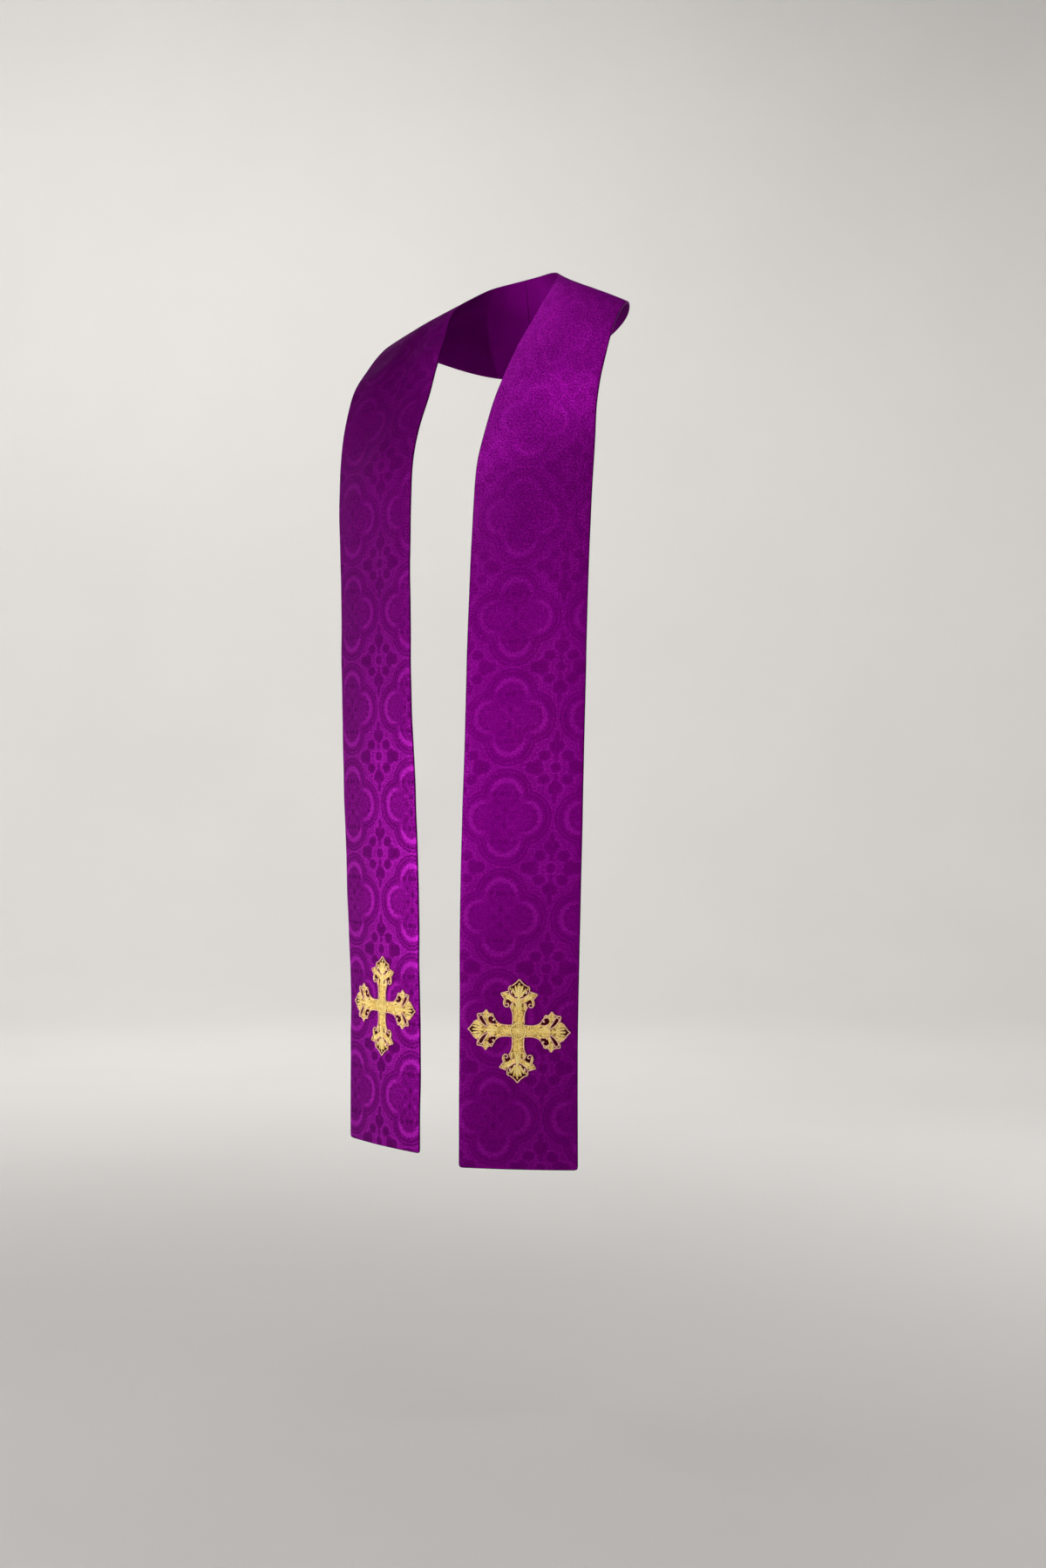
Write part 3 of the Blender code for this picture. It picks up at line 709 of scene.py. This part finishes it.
def damask_figure():
    """Node group: flat place in mm from a medallion's middle in, tone of the woven figure out.

    Everything is folded into a quarter of the repeat: x and y are the distances from the nearest
    medallion's middle lines, and the star between four medallions is at the far corner. Threads end in
    steps, so the folded place is roughened by noise before it is read.
    """
    group = bpy.data.node_groups.new("damask_figure", "ShaderNodeTree")
    group.interface.new_socket("Place", in_out="INPUT", socket_type="NodeSocketVector")
    group.interface.new_socket("Figure", in_out="OUTPUT", socket_type="NodeSocketFloat")
    draw = Draft(group)
    place = group.nodes.new("NodeGroupInput").outputs[0]
    out_x, out_y = draw.split(place)
    half_x, half_y = REPEAT_ACROSS / 2, REPEAT_ALONG / 2
    folded_x = draw.math("ABSOLUTE", draw.math("WRAP", out_x, half_x, -half_x))
    folded_y = draw.math("ABSOLUTE", draw.math("WRAP", out_y, half_y, -half_y))
    step_x, step_y = draw.split(draw.wander(place, 0.5, 0.6))
    x = draw.add(folded_x, draw.times(step_x, ROUGHENED), -ROUGHENED / 2)
    y = draw.add(folded_y, draw.times(step_y, ROUGHENED), -ROUGHENED / 2)
    here = draw.join(x, y)
    ragged = draw.times(draw.less(draw.noise(place, 0.42, 2.0, 0.6), 0.5), 1.1)
    worn = draw.rise(draw.noise(place, 0.5, 2.0, 0.6), 0.32, 0.6, 0.35, 1.1)

    # Four lobes of the medallion: outward and aside are measured from the nearest lobe's middle.
    side_far = draw.far(here, (LOBE_ACROSS, 0, 0))
    end_far = draw.far(here, (0, LOBE_ALONG, 0))
    lobe = draw.math("MINIMUM", side_far, end_far)
    on_side = draw.math("LESS_THAN", side_far, end_far)
    outward = draw.blend(on_side, draw.less(y, LOBE_ALONG), draw.less(x, LOBE_ACROSS))
    aside = draw.blend(on_side, x, y)
    turn = draw.math("ARCTAN2", aside, outward)
    outer_half = draw.rise(outward, -9, 14)
    teeth = draw.times(draw.math("SINE", draw.times(turn, 24)), 0.5)
    off_ring = draw.math("ABSOLUTE", draw.add(lobe, teeth, -BROAD_RING))
    off_ring = draw.less(off_ring, draw.times(outer_half, 2.2))
    ring = draw.times(draw.rise(off_ring, 2.6, -0.8), draw.rise(outward, -11, 6), worn)
    thin_ring = draw.times(draw.line(draw.less(lobe, THIN_RING), 0.9, 0.6), draw.rise(outward, 6, -6))
    rays = draw.rise(draw.math("COSINE", draw.times(turn, 10)), 0.2, 0.9)
    rays = draw.times(rays, draw.line(draw.less(lobe, SHELL_RAYS), 5, 2))
    petals = draw.times(draw.math("COSINE", draw.times(turn, 5)), 1.4)
    rose = draw.line(draw.add(lobe, petals, -ROSE), 0.9, 0.9)
    frame_dark = draw.add(
        draw.line(draw.less(lobe, INNER_LINE), 1.0, 0.8),
        draw.line(draw.less(lobe, OUTER_LINE), 1.1, 0.8),
        draw.times(draw.line(draw.less(lobe, FRAME), 5.0, 1.4), 0.4),
    )
    beads = draw.rise(draw.math("SINE", draw.times(turn, 44)), -0.3, 0.6, 0.25, 1.0)
    beads = draw.times(draw.line(draw.less(lobe, BEADS), 0.9, 0.9), beads)
    edge_line = draw.line(draw.less(lobe, EDGE_LINE), 0.9, 0.8)

    # The star between four medallions: a bright net with dark florets and a small ring of dots.
    star_x, star_y = draw.less(half_x, x), draw.less(half_y, y)
    middle = draw.far(draw.join(star_x, star_y), (0, 0, 0))
    dots = draw.math("COSINE", draw.times(draw.math("ARCTAN2", star_y, star_x), 16))
    dots = draw.times(draw.line(draw.less(middle, STAR_RING), 1.4, 0.8), draw.rise(dots, -0.2, 0.6))
    lace = draw.times(
        draw.math("SINE", draw.times(draw.add(star_x, star_y), LACE_STEP)),
        draw.math("SINE", draw.times(draw.less(star_x, star_y), LACE_STEP)),
    )
    florets, nearest = leaf_fields(draw, STAR_LEAVES, star_x, star_y, ragged)
    net = draw.line(draw.less(nearest, 1.3), 0.16, 0.2)
    lace = draw.times(draw.rise(lace, -0.3, 0.7), draw.rise(nearest, 1.3, 1.7))
    outside = draw.rise(lobe, *OUTSIDE_FRAME)
    inside = draw.rise(lobe, *INSIDE_FRAME)

    star_tone = draw.add(
        0.04, draw.times(net, worn, 0.46), draw.times(dots, 0.3), draw.times(lace, worn, 0.3), florets
    )
    centre, _ = leaf_fields(draw, MEDALLION_LEAVES, x, y, ragged)
    medallion_tone = draw.add(
        -0.06,
        draw.times(ring, 0.60),
        draw.times(thin_ring, 0.2),
        draw.times(rays, -0.12),
        draw.times(rose, 0.14),
        centre,
    )
    figure = draw.add(
        MIDDLE_TONE,
        draw.times(outside, star_tone),
        draw.times(inside, medallion_tone),
        draw.times(frame_dark, -0.26),
        draw.times(beads, 0.28),
        draw.times(edge_line, 0.16),
    )
    group.links.new(figure, group.nodes.new("NodeGroupOutput").inputs[0])
    return group


def new_finish(name):
    """A material and the draft of its nodes."""
    material = bpy.data.materials.new(name)
    material.use_nodes = True
    return material, Draft(material.node_tree)


def woven(draw, flat):
    """Speckle of a satin weave: bright floats that lie across, fine picks along, and slubs of 2 to 3 mm."""
    floats = draw.noise(draw.scaled(flat, (0, 0, 0), (0.6, 1.2, 1)), 0.75, 2.0, 0.7)
    picks = draw.noise(draw.scaled(flat, (9, 4, 0), (1.2, 0.7, 1)), 0.75, 2.0, 0.7)
    slubs = draw.noise(flat, 0.36, 2.0, 0.6)
    return floats, picks, slubs


# How the figure lies on a band: a medallion's middle in mm in from the neck edge and up from the hem,
# how far it drifts across for each mm up, how strongly the figure and the weave's speckle show by the
# hem and by the neck, and how much painted light brightens the silk by the neck edge.
Laid = namedtuple("Laid", "across rise drift figure figure_above grain grain_above rubbed")
# Painted sheen: the figure and the speckle show with different strengths on the two bands and at different
# heights, standing in for how the satin catches the light where each band lies.
LAID = {
    LEFT: Laid(45.5, 63.5, 0.026, 0.34, 0.18, 0.62, 1.7, 0.16),
    RIGHT: Laid(136.5, 66.4, -0.028, 0.74, 0.26, 1.05, 0.75, 0.0),
}

# Heights over the hem, in mm, between which each of these goes over from its lower to its upper strength.
FIGURE_FADES, GRAIN_TURNS, NECK_LIGHT_FROM = (330, 950), (600, 1000), (650, 850)
NECK_LIGHT_WIDTH = 75.0  # of the painted light along the neck edge
SHEEN_FLECK_WIDTH = 17.0  # of the painted sheen specks along the neck edge
EDGE_SHADE_SPAN = 1.6, 0.4  # distances from the edge over which painted shade darkens the turned edge
DRIFT = (4, 4, 0)  # by which the cloth is drawn askew here and there
SHADOW_TONE, GROUND_TONE = 0.05, 0.45  # at which the silk has its darkest purple and its own
SILK_GLOSS = (1.0, 0.03, 1.0, 1)  # colour of its highlights


def damask_finish(name, colours, laid):
    """Tone-on-tone silk: the figure sets a blend of three purples, its sheen and a very low relief."""
    material, draw = new_finish(name)
    flat = draw.node("ShaderNodeUVMap", uv_map="cloth")
    drift = draw.wander(flat, 0.02, 0.5)
    drift = draw.node("ShaderNodeVectorMath", drift, (0.5, 0.5, 0.5), operation="SUBTRACT")
    drift = draw.node("ShaderNodeVectorMath", drift, DRIFT, operation="MULTIPLY")
    in_x, up_y = draw.split(draw.node("ShaderNodeVectorMath", flat, drift, operation="ADD"))
    up_y = draw.less(up_y, laid.rise)
    placed = draw.join(draw.less(draw.less(in_x, laid.across), draw.times(up_y, laid.drift)), up_y)
    group = draw.tree.nodes.new("ShaderNodeGroup")
    group.node_tree = bpy.data.node_groups["damask_figure"]
    draw.feed(group.inputs[0], placed)
    across, rise = draw.split(flat)
    # Painted sheen: the figure shows more or less strongly with the band and the height.
    shown = draw.rise(rise, *FIGURE_FADES, laid.figure, laid.figure_above)
    figure = draw.add(draw.times(draw.less(group.outputs[0], MIDDLE_TONE), shown), GROUND_TONE)

    floats, picks, slubs = woven(draw, flat)
    grain = draw.less(draw.add(floats, draw.times(picks, 0.8), draw.times(slubs, 0.6)), 1.2)
    patchy = draw.less(draw.noise(flat, 0.035, 3.0, 0.6), 0.5)
    from_edge = draw.math("MINIMUM", across, draw.less(BAND_WIDTH, across))
    from_edge = draw.math("MINIMUM", from_edge, rise)
    # Painted shade: the cloth darkens near its edges and hem, where the turned edge falls into shade.
    turned = draw.rise(from_edge, *EDGE_SHADE_SPAN, 0.0, -0.4)
    # Painted sheen: bright specks along the neck edge.
    painted_sheen_flecks = draw.rise(draw.noise(flat, 0.62, 1.0, 0.5), 0.56, 0.7)
    painted_sheen_flecks = draw.times(painted_sheen_flecks, draw.rise(across, SHEEN_FLECK_WIDTH, 2), 0.55)
    # Painted light: the silk along the neck edge is made paler towards the top, standing in for light that
    # falls there.
    rubbed = draw.rise(rise, *NECK_LIGHT_FROM, 0.0, laid.rubbed)
    rubbed = draw.times(draw.rise(across, NECK_LIGHT_WIDTH, 0), rubbed)
    # Painted sheen: the weave's speckle is stronger or weaker with the band and the height.
    speckle = draw.times(grain, draw.rise(rise, *GRAIN_TURNS, laid.grain, laid.grain_above))
    tone = draw.add(figure, speckle, draw.times(patchy, 0.22), turned, painted_sheen_flecks, rubbed)
    shadow = SHADOW_TONE, colours.shadow_purple
    ground = GROUND_TONE, colours.ground_purple
    bright = 1.0, colours.figure_purple
    relief = draw.add(draw.times(figure, 0.5), draw.times(grain, 0.9))
    draw.surface(
        base_color=draw.ramp(tone, shadow, ground, bright),
        roughness=draw.rise(tone, 0.1, 0.9, 0.56, 0.40),
        metallic=0.35,
        specular_ior_level=0.04,
        specular_tint=SILK_GLOSS,
        sheen_weight=0.04,
        sheen_roughness=0.4,
        sheen_tint=(*colours.figure_purple, 1),
        normal=draw.node("ShaderNodeBump", 0.5, 0.00035, None, relief),
    )
    return material


def satin_finish(name, colours):
    """Plain satin for the side that lies on the wearer: fine cross threads, no figure."""
    material, draw = new_finish(name)
    flat = draw.node("ShaderNodeUVMap", uv_map="cloth")
    floats, picks, slubs = woven(draw, flat)
    patchy = draw.times(draw.noise(flat, 0.03), 0.3)
    tone = draw.add(draw.times(floats, 0.5), draw.times(picks, 0.3), draw.times(slubs, 0.2), patchy)
    draw.surface(
        base_color=draw.ramp(tone, (0.3, colours.shadow_purple), (0.8, colours.ground_purple)),
        roughness=draw.rise(tone, 0.3, 0.8, 0.5, 0.42),
        metallic=0.3,
        specular_ior_level=0.04,
        specular_tint=SILK_GLOSS,
        normal=draw.node("ShaderNodeBump", 0.4, 0.0003, None, tone),
    )
    return material


# Threads in the order of FILL, GROUND, CORD and SHADE: the step between stitches in mm, how far they slant
# over a stroke, how rough, metallic and shiny they are, and how far their colours move towards the painted
# glints.
Thread = namedtuple("Thread", "name stitch slant roughness metallic shine paler")
THREADS = (
    Thread("gold_fill", 0.55, 1.0, 0.34, 0.2, 0.5, 0.0),
    Thread("gold_ground", 0.8, 0.0, 0.5, 0.2, 0.4, 0.17),
    Thread("rose_gold_cord", 0.9, 0.8, 0.4, 0.1, 0.5, 0.0),
    # Painted shade: the SHADE finish gives the gaps and the cords' shadows a dark wine colour.
    Thread("wine_painted_shade", 0.8, 0.0, 0.8, 0.0, 0.05, 0.0),
)
GLINTS, PATCHES = 750.0, 260.0  # scales of the glints and patches of light painted on the threads, for each metre
THREAD_TONE = -1.70  # brings the sum of a thread's tones to between 0 and 1


def thread_finish(kind, tones):
    """Metal thread in satin stitch: stitches slant over the stroke, each with a painted highlight of its own,
    over painted glints and patches of light.

    tones are its colours in the painted shade of the hollows, on the flat and in the painted glints.
    """
    material, draw = new_finish(kind.name)
    along, aside = draw.split(draw.node("ShaderNodeUVMap", uv_map="cloth"))
    lean = draw.times(draw.math("ABSOLUTE", aside), kind.slant)
    turns = draw.times(draw.add(along, lean), 2 * np.pi / kind.stitch)
    thread = draw.rise(draw.math("SINE", turns), -1, 1)
    place = draw.node("ShaderNodeTexCoord", out=3)
    glint = draw.noise(place, GLINTS, 2.0, 0.6)
    patch = draw.noise(place, PATCHES, 2.0, 0.5)
    # Painted shade: relief darkens the colour in the hollows between the threads.
    relief = draw.node("ShaderNodeAttribute", attribute_name="relief", out=2)
    # Painted light: stitch stripes, glints and patches of light move the colour towards the glint tone.
    tone = draw.add(
        draw.times(thread, 0.3),
        draw.times(glint, 2.2),
        draw.times(patch, 1.1),
        draw.times(relief, 0.9),
        kind.paler + THREAD_TONE,
    )
    raised = draw.add(thread, draw.times(glint, 0.8))
    draw.surface(
        base_color=draw.ramp(tone, *zip((0.0, 0.5, 1.0), tones)),
        roughness=draw.rise(tone, 0, 1, kind.roughness + 0.1, kind.roughness - 0.08),
        metallic=kind.metallic,
        specular_ior_level=kind.shine,
        normal=draw.node("ShaderNodeBump", 0.6, 0.0002, None, raised),
    )
    return material


# ---------------------------------------------------------------- the add-on


class StoleSizes(bpy.types.PropertyGroup):
    """Sizes that a maker would set before sewing."""

    cloth_grid: FloatProperty(
        name="Cloth grid",
        description="Size of the cells that each band is made of",
        default=0.0034,
        min=0.001,
        unit="LENGTH",
    )
    thickness: FloatProperty(
        name="Thickness",
        description="Face, interlining and lining of a band together",
        default=0.0024,
        min=0.0005,
        unit="LENGTH",
    )
    corner: FloatProperty(
        name="Corner",
        description="Radius of the lower corners of a band",
        default=0.004,
        min=0.0,
        unit="LENGTH",
    )
    floor_drop: FloatProperty(
        name="Floor drop",
        description="Height of the nape over the floor",
        default=1.536,
        unit="LENGTH",
    )


def dye(name, description, colour):
    """A colour that a user can change."""
    return FloatVectorProperty(name=name, description=description, subtype="COLOR", default=colour)


class StoleColours(bpy.types.PropertyGroup):
    """Dyes of the silk, colours of the metal threads, and the colours of their painted glints and painted
    shade.
    """

    shadow_purple: dye("Shadow purple", "Silk where the ground shows", (0.052, 0.0002, 0.056))
    ground_purple: dye("Ground purple", "Silk between figures", (0.145, 0.0006, 0.154))
    figure_purple: dye("Figure purple", "Silk of the brightest figures", (0.34, 0.012, 0.355))
    # Painted highlight: the colour painted where a gold thread glints.
    painted_glint_gold: dye("Bright gold", "Gold thread where it glints", (1.0, 0.85, 0.38))
    gold: dye("Gold", "Thread that fills the leaves", (1.0, 0.69, 0.14))
    # Painted shade: the colour painted in a gold thread's hollows.
    painted_shade_gold: dye("Painted shade gold", "The same thread in its hollows", (0.25, 0.11, 0.010))
    # Painted highlight: the colour painted where the cord glints.
    painted_glint_rose: dye("Bright rose", "Outlining cord where it glints", (1.0, 0.70, 0.53))
    rose_gold: dye("Rose gold", "Cord that outlines a cross", (1.0, 0.48, 0.32))
    # Painted shade: the colour painted in the cord's hollows.
    painted_shade_rose: dye("Painted shade rose", "The same cord in its hollows", (0.60, 0.18, 0.115))
    # Painted shade: the wine colours are painted in the gaps of a cross and beside its cords.
    wine: dye("Wine", "Painted shade in the gaps of a cross", (0.13, 0.008, 0.022))
    dark_wine: dye("Dark wine", "The same painted shade in its hollows", (0.03, 0.001, 0.006))


LIGHT_COLOUR = (1.0, 0.985, 0.965)

# Round lights, whose beams fade out over their whole angle. Places, aims and radii are in metres.
Spot = namedtuple("Spot", "name power degrees radius place aim")
SPOTS = (
    Spot("left_spot", 70, 90, 0.5, (-1.7, -1.9, -0.85), (0, -0.18, -0.9)),
    Spot("neck_spot", 120, 12, 0.12, (-0.3, -1.7, 0.9), (0.12, -0.08, -0.04)),
    Spot("shoulder_spot", 78, 14, 0.12, (-0.3, -1.7, 0.9), (0.10, -0.12, -0.12)),
    Spot("chest_spot", 31.5, 26, 0.12, (0.2, -1.8, -0.5), (0.1, -0.2, -0.6)),
    Spot("hem_spot", 43, 24, 0.12, (-1.2, -1.5, -0.9), (-0.12, -0.19, -0.85)),
)
WALL_LIGHT = (3.4, 2.6), (6.5, -0.8)  # how far out and how high each wall light stands, and where it aims
CAMERA_PLACE, CAMERA_WAY = (1.504, -2.452, -0.666), (-0.524, 0.8517, 0)


def put_aimed(name, data, place, way):
    """A light or a camera at place, turned to look this way."""
    placed = bpy.data.objects.new(name, data)
    placed.location = place
    placed.rotation_mode = "QUATERNION"
    placed.rotation_quaternion = Vector(way).to_track_quat("-Z", "Y")
    bpy.context.scene.collection.objects.link(placed)
    return placed


def soft_light(name, power, width, place, aim):
    """A soft square light at place, turned to aim."""
    light = bpy.data.lights.new(name, "AREA")
    light.energy, light.size, light.color = power, width, LIGHT_COLOUR
    put_aimed(name, light, place, Vector(aim) - Vector(place)).visible_camera = False


def spot_light(spot):
    """A round light, as a row of SPOTS says."""
    light = bpy.data.lights.new(spot.name, "SPOT")
    light.energy, light.color = spot.power, LIGHT_COLOUR
    light.spot_size, light.spot_blend, light.shadow_soft_size = np.radians(spot.degrees), 1.0, spot.radius
    put_aimed(spot.name, light, spot.place, Vector(spot.aim) - Vector(spot.place))


def studio_lights():
    """One light behind, the spots, and four that wash the wall from the middle outwards."""
    soft_light("back_light", 14, 1.6, (0.6, 2.6, 0.3), (0, 0, -0.5))
    for spot in SPOTS:
        spot_light(spot)
    (stand_out, stand_up), (aim_out, aim_up) = WALL_LIGHT
    for quarter in range(4):
        turn = np.pi / 4 + quarter * np.pi / 2
        out = np.array([np.cos(turn), np.sin(turn), 0.0])
        place, aim = out * stand_out + (0, 0, stand_up), out * aim_out + (0, 0, aim_up)
        soft_light(f"wall_light_{quarter}", 150, 2.4, place, aim)


FLOOR_REACH, FLOOR_BEND, WALL_TOP = 5.5, 2.0, 6.5  # flat floor, its curve up into the wall, and the wall


def studio_floor(drop):
    """A surface of revolution: a flat floor, a quarter circle up from it, and an upright wall."""
    rim = np.linspace(0, np.pi / 2, 13)
    wall = FLOOR_REACH + FLOOR_BEND
    radius = np.concatenate(([0.3, 0.8, 2.0, 4.0], FLOOR_REACH + FLOOR_BEND * np.sin(rim), [wall, wall]))
    height = np.concatenate(([0, 0, 0, 0], FLOOR_BEND - FLOOR_BEND * np.cos(rim), [4.0, WALL_TOP]))
    angle = np.linspace(0, 2 * np.pi, 96, endpoint=False)
    ring, turn = np.meshgrid(radius, angle, indexing="ij")
    rise = np.broadcast_to(height[:, None], ring.shape)
    points = np.stack([ring * np.cos(turn), ring * np.sin(turn), rise - drop], -1).reshape(-1, 3)
    points = np.concatenate((points, [[0, 0, -drop]]))
    faces = ring_quads(len(radius), len(angle))[:, ::-1].tolist()
    faces += np.stack([np.full(len(angle), len(points) - 1), *ring_pairs(len(angle))], 1).tolist()
    material, draw = new_finish("studio_floor")
    shade = draw.noise(draw.node("ShaderNodeTexCoord", out=3), 1.4, 3.0, 0.5)
    grey = draw.ramp(shade, (0.0, (0.72, 0.71, 0.70)), (1.0, (0.77, 0.76, 0.75)))
    draw.surface(base_color=grey, roughness=0.85, specular_ior_level=0.2)
    return put_mesh("studio_floor", points, faces, points[:, :2], (material,))


class STOLE_OT_camera(bpy.types.Operator):
    """Set a camera level with the waist, before the wearer's left front"""

    bl_idname = "stole.camera"
    bl_label = "Set camera"

    def execute(self, context):
        data = bpy.data.cameras.new("stole_camera")
        data.lens, data.sensor_width, data.sensor_fit = 50, 36, "AUTO"
        data.clip_start, data.clip_end = 0.1, 60
        context.scene.camera = put_aimed("stole_camera", data, CAMERA_PLACE, CAMERA_WAY)
        return {"FINISHED"}


class STOLE_OT_bands(bpy.types.Operator):
    """Make the two bands of damask, turned and pressed at their edges"""

    bl_idname = "stole.bands"
    bl_label = "Make bands"

    def execute(self, context):
        sizes, colours = context.scene.stole_sizes, context.scene.stole_colours
        damask_figure()
        lining = satin_finish("plain_satin", colours)
        for side, hand in HANDS:
            face = damask_finish(f"damask_{hand}", colours, LAID[side])
            points, faces, flat, finish = shell(side, sizes)
            band = put_mesh(f"band_{hand}", points, faces, flat, (face, lining), finish)
            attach(band, "root")
            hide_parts(f"stole_{hand}")
        return {"FINISHED"}


class STOLE_OT_crosses(bpy.types.Operator):
    """Embroider a gold cross on each band"""

    bl_idname = "stole.crosses"
    bl_label = "Embroider crosses"

    def execute(self, context):
        colours = context.scene.stole_colours
        gold = colours.painted_shade_gold, colours.gold, colours.painted_glint_gold
        rose = colours.painted_shade_rose, colours.rose_gold, colours.painted_glint_rose
        wine = colours.dark_wine, colours.wine, colours.wine
        threads = [thread_finish(kind, tones) for kind, tones in zip(THREADS, (gold, gold, rose, wine))]
        flat, faces, thread_places, finish = flat_cross()
        reach, aside, lift = flat.T
        # Painted shade: relief sets how dark the thread finishes paint the hollows between threads.
        relief = np.clip((lift - HOLLOW_LIFT) / (PROUD_LIFT - HOLLOW_LIFT), 0, 1)
        for side, hand in HANDS:
            place = CROSS_PLACES[side]
            along = BAND_LENGTH - place.rise + reach + place.turn * aside
            share = (place.inset + aside - place.turn * reach) / BAND_WIDTH
            points = on_band(side, along, share, lift)
            outward = faces if side == LEFT else [face[::-1] for face in faces]
            cross = put_mesh(f"embroidery_{hand}", points, outward, thread_places, threads, finish, relief)
            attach(cross, "root")
            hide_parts(f"cross_{hand}")
        return {"FINISHED"}


class STOLE_OT_stage(bpy.types.Operator):
    """Lay a pale floor that curves up into a wall all round, and light it softly"""

    bl_idname = "stole.stage"
    bl_label = "Set stage"

    def execute(self, context):
        floor = studio_floor(context.scene.stole_sizes.floor_drop)
        world = bpy.data.worlds.new("studio_light")
        world.use_nodes = True
        background = world.node_tree.nodes["Background"]
        background.inputs["Color"].default_value = (0.96, 0.97, 1.0, 1)
        background.inputs["Strength"].default_value = 0.04
        context.scene.world = world

        studio_lights()
        context.scene.view_settings.view_transform = "Standard"
        return {"FINISHED"}


class STOLE_PT_panel(bpy.types.Panel):
    """Sizes, colours and the steps of making, in order"""

    bl_idname = "STOLE_PT_panel"
    bl_label = "Clerical stole"
    bl_space_type = "VIEW_3D"
    bl_region_type = "UI"
    bl_category = "Stole"

    def draw(self, context):
        layout = self.layout
        for group in (context.scene.stole_sizes, context.scene.stole_colours):
            for name in group.__annotations__:
                layout.prop(group, name)
        for step in STEPS:
            layout.operator(step.bl_idname)


STEPS = (STOLE_OT_camera, STOLE_OT_bands, STOLE_OT_crosses, STOLE_OT_stage)
CLASSES = (StoleSizes, StoleColours, *STEPS, STOLE_PT_panel)


def register():
    for each in CLASSES:
        bpy.utils.register_class(each)
    bpy.types.Scene.stole_sizes = PointerProperty(type=StoleSizes)
    bpy.types.Scene.stole_colours = PointerProperty(type=StoleColours)


def unregister():
    del bpy.types.Scene.stole_colours
    del bpy.types.Scene.stole_sizes
    for each in reversed(CLASSES):
        bpy.utils.unregister_class(each)


def main():
    """Makes the whole scene, one operator after another."""
    register()
    bpy.ops.stole.camera()
    bpy.ops.stole.bands()
    bpy.ops.stole.crosses()
    bpy.ops.stole.stage()
    bpy.context.view_layer.update()


if __name__ == "__main__":
    main()
